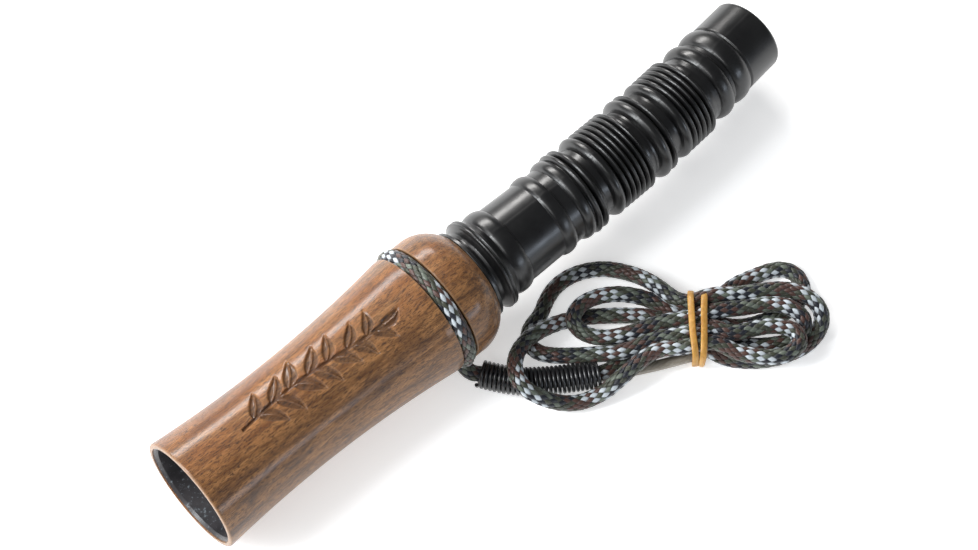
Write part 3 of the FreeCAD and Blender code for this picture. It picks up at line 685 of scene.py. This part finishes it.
def line_mesh(name, points, closed=False):
    """A smooth line through the cord's control points, as a mesh of short edges."""
    curve = bpy.data.curves.new(name, "CURVE")
    curve.dimensions = "3D"
    spline = curve.splines.new("NURBS")
    spline.points.add(len(points) - 1)
    for point, place in zip(spline.points, points):
        point.co = (*(value * MM for value in place), 1)
    spline.order_u = 3
    spline.use_endpoint_u = not closed
    spline.use_cyclic_u = closed
    spline.resolution_u = 8
    holder = piece_from(name, curve)
    graph = bpy.context.evaluated_depsgraph_get()
    mesh = bpy.data.meshes.new_from_object(holder.evaluated_get(graph), depsgraph=graph)
    bpy.data.objects.remove(holder)
    return mesh


def line_points(mesh):
    return [vertex.co.copy() for vertex in mesh.vertices]


def line_length(points):
    return sum((b - a).length for a, b in zip(points, points[1:]))


def strand_tile():
    """A flat strand where it shows: a closed diamond, domed and dipping at its edges."""
    sides, rings = 8, ((0.5, 0.86), (0.84, 0.5), (1.0, -0.15))
    places = [(0, 0, 1.0)]
    for share, height in rings:
        for k in range(sides):
            angle = math.tau * k / sides
            c, s = math.cos(angle), math.sin(angle)
            places.append((math.copysign(abs(c) ** TILE_POINTED, c) * share,
                           math.copysign(abs(s) ** TILE_POINTED, s) * share, height))
    faces = [(0, 1 + k, 1 + (k + 1) % sides) for k in range(sides)]
    for ring in range(len(rings) - 1):
        a, b = 1 + ring * sides, 1 + (ring + 1) * sides
        faces += [(a + k, b + k, b + (k + 1) % sides, a + (k + 1) % sides) for k in range(sides)]
    last = 1 + (len(rings) - 1) * sides
    faces.append(tuple(last + k for k in reversed(range(sides))))
    mesh = bpy.data.meshes.new("strand_tile")
    mesh.from_pydata(places, [], faces)
    # Each vertex keeps its place in the tile, for the fibre lines and for the painted shade at the tile's low
    # edges.
    fibre_and_painted_shade = mesh.attributes.new("fibre_and_painted_shade", "FLOAT_VECTOR", "POINT")
    fibre_and_painted_shade.data.foreach_set("vector", [value for place in places for value in place])
    return piece_from("strand_tile", mesh)


def swept(tree, line, sides, radius):
    """A round section along a line, with closed ends."""
    section = add(tree, "GeometryNodeCurvePrimitiveCircle", {
        "Resolution": sides, "Radius": radius})
    return add(tree, "GeometryNodeCurveToMesh", {
        "Curve": line, "Profile Curve": section.outputs[0], "Fill Caps": True}).outputs[0]


def braid_tree():
    """Flat strands braided round a line: tiles in rings, every other ring from the other way."""
    tree, given = tree_with("braided_cord", [
        ("Rings", "Int"), ("Strands Each Way", "Int"), ("Radius", "Float"),
        ("Core Radius", "Float"), ("Cell Length", "Float"), ("Tile Length", "Float"),
        ("Tile Width", "Float"), ("Tile Height", "Float"), ("Tile", "Object"),
        ("Core Material", "Material")])
    line = add(tree, "GeometryNodeMeshToCurve", {"Mesh": given["Geometry"]}).outputs[0]
    points = add(tree, "GeometryNodeCurveToPoints", {
        "Curve": line, "Count": given["Rings"]}, mode="COUNT")
    tangent, normal = points.outputs["Tangent"], points.outputs["Normal"]
    index = add(tree, "GeometryNodeInputIndex").outputs[0]

    def sampled(step):
        node = add(tree, "GeometryNodeSampleIndex", {
            "Geometry": points.outputs[0], "Value": tangent,
            "Index": maths(tree, "ADD", index, step)}, data_type="FLOAT_VECTOR", clamp=True)
        return node.outputs[0]

    bend = vector_maths(tree, "SUBTRACT", {0: sampled(1), 1: sampled(-1)})
    kept = add(tree, "GeometryNodeCaptureAttribute", {
        "Geometry": points.outputs[0]}, domain="POINT")
    for label, kind, output in (("Ring", "INT", index), ("Bend", "VECTOR", bend)):
        kept.capture_items.new(kind, label)
        tree.links.new(output, kept.inputs[label])
    copies = add(tree, "GeometryNodeDuplicateElements", {
        "Geometry": kept.outputs[0], "Amount": given["Strands Each Way"]}, domain="POINT")
    ring, around = kept.outputs["Ring"], copies.outputs["Duplicate Index"]
    odd = maths(tree, "MODULO", ring, 2)
    turn = maths(tree, "DIVIDE", math.tau, given["Strands Each Way"])
    angle = times(tree, maths(tree, "ADD", around, times(tree, odd, 0.5)), turn)
    sine, cosine = maths(tree, "SINE", angle), maths(tree, "COSINE", angle)
    binormal = vector_maths(tree, "CROSS_PRODUCT", {0: tangent, 1: normal})

    def in_ring(first, second):
        a = scaled(tree, normal, first)
        b = scaled(tree, binormal, second)
        return vector_maths(tree, "ADD", {0: a, 1: b})

    radial = in_ring(cosine, sine)
    sideways = in_ring(times(tree, sine, -1), cosine)
    moved = add(tree, "GeometryNodeSetPosition", {
        "Geometry": copies.outputs[0],
        "Offset": scaled(tree, radial, given["Radius"])})
    inward = times(tree, vector_maths(tree, "DOT_PRODUCT", {0: bend, 1: radial}), given["Radius"])
    squeeze = maths(tree, "DIVIDE", inward, given["Cell Length"])
    longest = maths(tree, "MAXIMUM", maths(tree, "SUBTRACT", 1, squeeze), 0.45)
    stretch = maths(tree, "MINIMUM", longest, 1.8)
    half_width = maths(tree, "DIVIDE", times(tree, turn, given["Radius"]), 2)
    slope = maths(tree, "DIVIDE", half_width, times(tree, given["Cell Length"], 2.2))
    signed = times(tree, slope, maths(tree, "SUBTRACT", 1, times(tree, odd, 2)))
    strand_way = vector_maths(tree, "ADD", {
        0: scaled(tree, tangent, stretch),
        1: scaled(tree, sideways, signed)})
    slope_2 = times(tree, slope, slope)
    grown_2 = maths(tree, "ADD", times(tree, stretch, stretch), slope_2)
    longer = maths(tree, "SQRT", maths(tree, "DIVIDE", grown_2, maths(tree, "ADD", 1, slope_2)))
    laid = add(tree, "FunctionNodeAxesToRotation", {
        "Primary Axis": radial, "Secondary Axis": strand_way}, primary_axis="Z", secondary_axis="X")
    tile = add(tree, "GeometryNodeObjectInfo", {"Object": given["Tile"]})
    size = add(tree, "ShaderNodeCombineXYZ", {
        "X": times(tree, given["Tile Length"], longer), "Y": given["Tile Width"],
        "Z": given["Tile Height"]})
    tiles = add(tree, "GeometryNodeInstanceOnPoints", {
        "Points": moved.outputs[0], "Instance": tile.outputs["Geometry"],
        "Rotation": laid.outputs[0], "Scale": size.outputs[0]})
    half = times(tree, ring, 0.5)
    back = maths(tree, "SUBTRACT", around, maths(tree, "FLOOR", half))
    one_way = maths(tree, "FLOORED_MODULO", back, given["Strands Each Way"])
    forward = maths(tree, "ADD", around, maths(tree, "CEIL", half))
    other_way = maths(tree, "ADD", given["Strands Each Way"], maths(
        tree, "FLOORED_MODULO", forward, given["Strands Each Way"]))
    strand = maths(tree, "ADD", times(tree, one_way, maths(tree, "SUBTRACT", 1, odd)),
                   times(tree, other_way, odd))
    marked = add(tree, "GeometryNodeStoreNamedAttribute", {
        "Geometry": tiles.outputs[0], "Name": "strand", "Value": strand},
        data_type="FLOAT", domain="INSTANCE")
    real = add(tree, "GeometryNodeRealizeInstances", {"Geometry": marked.outputs[0]})
    coated = add(tree, "GeometryNodeSetMaterial", {
        "Geometry": real.outputs[0], "Material": given["Material"]})
    spaced = add(tree, "GeometryNodeResampleCurve", {
        "Curve": line, "Count": given["Rings"]}, mode="COUNT")
    dark = add(tree, "GeometryNodeSetMaterial", {
        "Geometry": swept(tree, spaced.outputs[0], 12, given["Core Radius"]),
        "Material": given["Core Material"]})
    whole = add(tree, "GeometryNodeJoinGeometry")
    tree.links.new(dark.outputs[0], whole.inputs[0])
    tree.links.new(coated.outputs[0], whole.inputs[0])
    smooth = add(tree, "GeometryNodeSetShadeSmooth", {"Geometry": whole.outputs[0]})
    add(tree, "NodeGroupOutput", {"Geometry": smooth.outputs[0]})
    return tree


def strand_finish():
    """Shiny nylon strands, each in its own colour, with fine fibres along it, and painted shade that darkens each
    strand towards its edges, where it dips under its neighbours.
    """
    material, tree, shader = finish_named("camo_strands", {
        "Roughness": 0.42, "Specular IOR Level": 0.5, "Sheen Weight": 0.25, "Sheen Roughness": 0.4})
    silver, black = (0.55, 0.6, 0.64, 1), (0.008, 0.01, 0.018, 1)
    olive, brown = (0.046, 0.05, 0.032, 1), (0.078, 0.036, 0.027, 1)
    grey_green = (0.12, 0.14, 0.11, 1)
    colours = [silver, silver, silver, brown, brown, olive, grey_green, olive,
               black, black, black, olive, brown, brown, olive, grey_green]
    strand = attribute(tree, "strand").outputs["Fac"]
    ramp = add(tree, "ShaderNodeValToRGB", {
        "Fac": maths(tree, "DIVIDE", maths(tree, "ADD", strand, 0.5), len(colours))})
    ramp.color_ramp.interpolation = "CONSTANT"
    while len(ramp.color_ramp.elements) < len(colours):
        ramp.color_ramp.elements.new(0.5)
    for number, colour in enumerate(colours):
        element = ramp.color_ramp.elements[number]
        element.position = number / len(colours)
        element.color = colour
    tile = add(tree, "ShaderNodeSeparateXYZ", {0: attribute(tree, "fibre_and_painted_shade").outputs["Vector"]})
    first_way = maths(tree, "LESS_THAN", strand, STRANDS_EACH_WAY - 0.5)
    way = maths(tree, "SUBTRACT", times(tree, first_way, 2), 1)
    aside = maths(tree, "SUBTRACT", tile.outputs["Y"], times(tree, tile.outputs["X"], way))
    threads = maths(tree, "SINE", times(tree, aside, 16))
    mottle = noise(tree, (500, 500, 500), 4)
    # Painted shade: each strand is darkened towards its low edges, where it dips between its neighbours; the
    # mottle is the nylon's own uneven tone.
    painted_edge_shade = spread(tree, tile.outputs["Z"], 0.0, 0.8, 0.3, 1.0)
    tone = times(tree, painted_edge_shade, spread(tree, mottle, 0.3, 0.7, 0.72, 1.12))
    grey = add(tree, "ShaderNodeCombineColor", {0: tone, 1: tone, 2: tone}).outputs[0]
    coloured(tree, shader, mixed(tree, 1.0, ramp.outputs[0], grey, "MULTIPLY"))
    bumped(tree, shader, threads, 0.3, 0.00004)
    return material


def core_finish():
    """Black core threads that show only between the strands."""
    material, tree, shader = finish_named("cord_core", {"Roughness": 0.8})
    threads = noise(tree, (1800, 1800, 1800), 3)
    coloured(tree, shader, mixed(tree, threads, (0.006, 0.006, 0.008, 1), (0.03, 0.03, 0.03, 1)))
    return material


def braided(name, line, thick, cell):
    """A braided cord along a line."""
    points = line_points(line)
    closed = len(line.edges) == len(line.vertices)
    length = line_length(points + points[:1] if closed else points) / MM
    rings = 2 * round(length / cell)
    radius = thick / 2 - STRAND_SINK
    width = math.tau * radius / STRANDS_EACH_WAY
    return grown(name, line, cord_braid, {
        "Rings": rings, "Strands Each Way": STRANDS_EACH_WAY, "Radius": radius * MM,
        "Core Radius": (radius - CORE_GAP) * MM, "Cell Length": length / rings * 2 * MM,
        "Tile Length": cell * TILE_LONG * MM, "Tile Width": width * TILE_WIDE * MM,
        "Tile Height": TILE_HIGH * MM,
        "Tile": tile_piece, "Material": strand_material, "Core Material": core_material})


cord_braid = braid_tree()
tile_piece = strand_tile()
strand_material, core_material = strand_finish(), core_finish()

cord_line = line_mesh("cord_line", FROM_RING + HANK)
cord = braided("lanyard_cord", cord_line, CORD_THICK, CELL_LENGTH)

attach(cord, "lanyard")
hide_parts("lanyard_tail", "cord_hank")


# ---- The ring round the barrel ----
# The same cord spliced into a ring that turns in the barrel's groove.

RING_RADIUS, RING_THICK, RING_POINTS, RING_CELL = 17.7, 4.55, 48, 3.5
ring_line = bpy.data.meshes.new("ring_line")
ring_line.from_pydata(
    [(GROOVE_PLACE * MM, RING_RADIUS * MM * math.sin(math.tau * k / RING_POINTS),
      RING_RADIUS * MM * math.cos(math.tau * k / RING_POINTS)) for k in range(RING_POINTS)],
    [(k, (k + 1) % RING_POINTS) for k in range(RING_POINTS)], [])
ring = braided("lanyard_ring", ring_line, RING_THICK, RING_CELL)
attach(ring, "lanyard")
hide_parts("lanyard_loop")


# ---- The spring ----
# Black coated wire wound close over the cord, to stop it folding where it leaves its ring.

SPRING_TURNS, SPRING_RADIUS, WIRE_RADIUS = 27, 3.6, 0.53
SPRING_LINE = FROM_RING[2:]


def spring_tree():
    """Wind a wire round a line."""
    tree, given = tree_with("wound_spring", [
        ("Turns", "Int"), ("Steps Each Turn", "Int"), ("Coil Radius", "Float"),
        ("Wire Radius", "Float")])
    line = add(tree, "GeometryNodeMeshToCurve", {"Mesh": given["Geometry"]}).outputs[0]
    steps = times(tree, given["Turns"], given["Steps Each Turn"])
    fine = add(tree, "GeometryNodeResampleCurve", {"Curve": line, "Count": steps}, mode="COUNT")
    share = add(tree, "GeometryNodeSplineParameter").outputs["Factor"]
    angle = times(tree, share, times(tree, given["Turns"], math.tau))
    normal = add(tree, "GeometryNodeInputNormal").outputs[0]
    tangent = add(tree, "GeometryNodeInputTangent").outputs[0]
    binormal = vector_maths(tree, "CROSS_PRODUCT", {0: tangent, 1: normal})
    offset = vector_maths(tree, "ADD", {
        0: scaled(tree, normal, maths(tree, "COSINE", angle)),
        1: scaled(tree, binormal, maths(tree, "SINE", angle))})
    wound = add(tree, "GeometryNodeSetPosition", {
        "Geometry": fine.outputs[0],
        "Offset": scaled(tree, offset, given["Coil Radius"])})
    return end_tree(tree, given, swept(tree, wound.outputs[0], 10, given["Wire Radius"]))


def wire_finish():
    """Black coating on steel wire, glossy on its crowns with a few bright rubbed spots."""
    material, tree, shader = finish_named("black_wire", {
        "Roughness": 0.3, "Specular IOR Level": 0.6, "Coat Weight": 0.3, "Coat Roughness": 0.15})
    rub = noise(tree, (1300, 1300, 1300), 5, 0.7)
    base = mixed(tree, (rub, 0.3, 0.7), (0.006, 0.006, 0.007, 1), (0.02, 0.02, 0.022, 1))
    coloured(tree, shader, mixed(tree, (rub, 0.7, 0.8, 0, 0.6), base, (0.16, 0.16, 0.16, 1)))
    bumped(tree, shader, rub, 0.15, 0.00004)
    return material


spring = grown("cord_spring", line_mesh("spring_line", SPRING_LINE), spring_tree(), {
    "Turns": SPRING_TURNS, "Steps Each Turn": 22, "Coil Radius": SPRING_RADIUS * MM,
    "Wire Radius": WIRE_RADIUS * MM, "Material": wire_finish()})
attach(spring, "lanyard")
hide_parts("lanyard_spring")


# ---- The smooth rod ----
# A short tube of grey-brown plastic that grips the cord's end; it lies under the hank from
# the spring to just past the band.

ROD_RADIUS = 1.55
ROD_LINE = [
    (112.0, -42.2, -16.0), (122.1, -47.7, -17.2), (135.1, -54.4, -16.4), (140.3, -56.9, -16.3),
]


def rod_finish():
    """Smooth grey-brown plastic with fine drawn lines along it."""
    material, tree, shader = finish_named("grey_rod", {
        "Roughness": 0.28, "Specular IOR Level": 0.6, "Coat Weight": 0.25, "Coat Roughness": 0.12})
    drawn = noise(tree, (160, 2600, 2600), 4)
    coloured(tree, shader, mixed(
        tree, (drawn, 0.3, 0.7), (0.2, 0.175, 0.14, 1), (0.36, 0.32, 0.26, 1)))
    bumped(tree, shader, drawn, 0.12, 0.00005)
    return material


def tube_tree():
    """A round tube along a line, with closed ends."""
    tree, given = tree_with("smooth_tube", [("Tube Radius", "Float"), ("Sides", "Int")])
    line = add(tree, "GeometryNodeMeshToCurve", {"Mesh": given["Geometry"]}).outputs[0]
    return end_tree(tree, given, swept(tree, line, given["Sides"], given["Tube Radius"]))


rod = grown("cord_rod", line_mesh("rod_line", ROD_LINE), tube_tree(), {
    "Tube Radius": ROD_RADIUS * MM, "Sides": 32, "Material": rod_finish()})
rod.data.set_sharp_from_angle(angle=math.radians(40))
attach(rod, "lanyard")
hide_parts("lanyard_rod")


# ---- The rubber band ----
# One amber rubber band wound twice round the hank, its two turns close together below and
# a little apart on top.

BAND_MIDDLE, BAND_ACROSS = Vector((141.7, -50.1, -13.75)), Vector((0.66, 0.75, 0)).normalized()
BAND_ALONG = Vector((BAND_ACROSS.y, -BAND_ACROSS.x, 0))
BAND_HALF_WIDTH, BAND_HALF_HEIGHT = 10.6, 5.5
BAND_WIDTH, BAND_THICK = 1.9, 0.95
BAND_STEPS, BAND_SIDES = 150, 12


def squared(value, power):
    return math.copysign(abs(value) ** power, value)


def band_ring(side):
    """One turn of the band as a closed ribbon with rounded edges."""
    places = []
    for step in range(BAND_STEPS):
        turn = math.tau * step / BAND_STEPS
        across = BAND_HALF_WIDTH * squared(math.cos(turn), 0.62)
        up = BAND_HALF_HEIGHT * squared(math.sin(turn), 0.72)
        apart = side * (1.25 + 0.45 * math.sin(turn) + 0.4 * math.cos(turn)
                        - 0.12 * math.cos(3 * turn + side))
        centre = BAND_MIDDLE + BAND_ACROSS * across + BAND_ALONG * apart + Vector((0, 0, up))
        out = (BAND_ACROSS * (across / BAND_HALF_WIDTH ** 2)
               + Vector((0, 0, up / BAND_HALF_HEIGHT ** 2))).normalized()
        twist = 0.25 * math.sin(turn * 2 + side)
        wide = (BAND_ALONG + out * twist).normalized()
        out = (out - wide * out.dot(wide)).normalized()
        for k in range(BAND_SIDES):
            angle = math.tau * k / BAND_SIDES
            places.append((centre + wide * squared(math.cos(angle), 0.6) * BAND_WIDTH / 2
                           + out * squared(math.sin(angle), 0.7) * BAND_THICK / 2) * MM)
    faces = []
    for i in range(BAND_STEPS):
        for k in range(BAND_SIDES):
            here, next_ring = i * BAND_SIDES, (i + 1) % BAND_STEPS * BAND_SIDES
            after = (k + 1) % BAND_SIDES
            faces.append((here + k, here + after, next_ring + after, next_ring + k))
    return places, faces


def band_finish():
    """Thin amber rubber that lets light through, powdery and slightly marbled."""
    material, tree, shader = finish_named("amber_band", {
        "Roughness": 0.42, "Subsurface Weight": 0.35, "Subsurface Scale": 0.0012,
        "Subsurface Radius": (1.0, 0.55, 0.2)})
    marble = noise(tree, (420, 420, 420), 5, 0.6, 0.8)
    powder = noise(tree, (1900, 1900, 1900), 3)
    base = mixed(tree, (marble, 0.3, 0.7), (0.4, 0.19, 0.032, 1), (0.6, 0.34, 0.085, 1))
    coloured(tree, shader, mixed(tree, (powder, 0.62, 0.75, 0, 0.4), base, (0.8, 0.66, 0.4, 1)))
    bumped(tree, shader, powder, 0.2, 0.00008)
    return material


def make_band():
    places, faces = [], []
    for side in (-1, 1):
        ring_places, ring_faces = band_ring(side)
        faces += [tuple(index + len(places) for index in face) for face in ring_faces]
        places += ring_places
    mesh = bpy.data.meshes.new("rubber_band")
    mesh.from_pydata(places, [], faces)
    facing_out(mesh)
    mesh.shade_smooth()
    mesh.materials.append(band_finish())
    return piece_from("rubber_band", mesh)


band = make_band()
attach(band, "lanyard")
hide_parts("hank_band")

bpy.data.objects.remove(tile_piece)


# ---- The table, the light and the camera ----
# A plain pale table under soft lamps: a wide one behind on the far side, a tall narrow one
# beyond the mouth, a cooler one low on the near side, and a long strip above.

TABLE_HEIGHT = -20.05


def make_table():
    mesh = bpy.data.meshes.new("table")
    half = 3.0
    height = TABLE_HEIGHT * MM
    mesh.from_pydata([(-half, -half, height), (half, -half, height), (half, half, height),
                      (-half, half, height)], [], [(0, 1, 2, 3)])
    table = piece_from("table", mesh)
    mesh.materials.append(finish_named("pale_table", {
        "Roughness": 0.9, "Specular IOR Level": 0.1, "Base Color": (0.9, 0.9, 0.9, 1),
        "Emission Color": (1, 1, 1, 1), "Emission Strength": 0.5})[0])


def make_lamp(name, towards, distance, size, power, colour):
    """An oblong soft lamp that faces the middle of the call."""
    data = bpy.data.lights.new(name, "AREA")
    data.shape = "RECTANGLE"
    data.size, data.size_y = size
    data.energy = power
    data.color = colour
    lamp = piece_from(name, data)
    middle = Vector((110, -15, 0)) * MM
    lamp.location = middle + Vector(towards).normalized() * distance
    lamp.rotation_euler = (lamp.location - middle).to_track_quat("Z", "Y").to_euler()


def make_camera():
    data = bpy.data.cameras.new("camera")
    data.sensor_width = 36.0
    data.lens = 125.15
    data.clip_start, data.clip_end = 0.05, 20
    camera = piece_from("camera", data)
    down, around = math.radians(63.17), math.radians(41.71)
    right = Vector((math.cos(around), -math.sin(around), 0))
    level = Vector((math.sin(around), math.cos(around), 0))
    view = math.cos(down) * level - math.sin(down) * Vector((0, 0, 1))
    camera.matrix_world = Matrix.Translation(Vector((-179.62, -322.70, 844.58)) * MM) @ Matrix(
        (right, right.cross(view), -view)).transposed().to_4x4()
    bpy.context.scene.camera = camera


make_table()
make_lamp("far_side_lamp", (0.15, 0.86, 0.5), 0.7, (0.5, 0.14), 4.5, (1.0, 0.98, 0.96))
make_lamp("mouth_end_lamp", (-0.8, 0.35, 0.5), 0.7, (0.14, 0.7), 6.5, (0.95, 0.98, 1.0))
make_lamp("near_side_lamp", (0.35, -0.95, 0.22), 0.8, (0.4, 0.12), 1.1, (0.78, 0.87, 1.0))
make_lamp("top_lamp", (-0.6, 0.15, 1.0), 1.0, (1.3, 0.1), 4.0, (1.0, 1.0, 1.0))
world = bpy.data.worlds.new("studio")
world.use_nodes = True
world.node_tree.nodes["Background"].inputs["Color"].default_value = (0.95, 0.97, 1.0, 1)
world.node_tree.nodes["Background"].inputs["Strength"].default_value = 0.16
bpy.context.scene.world = world
bpy.context.scene.view_settings.view_transform = "Standard"
make_camera()
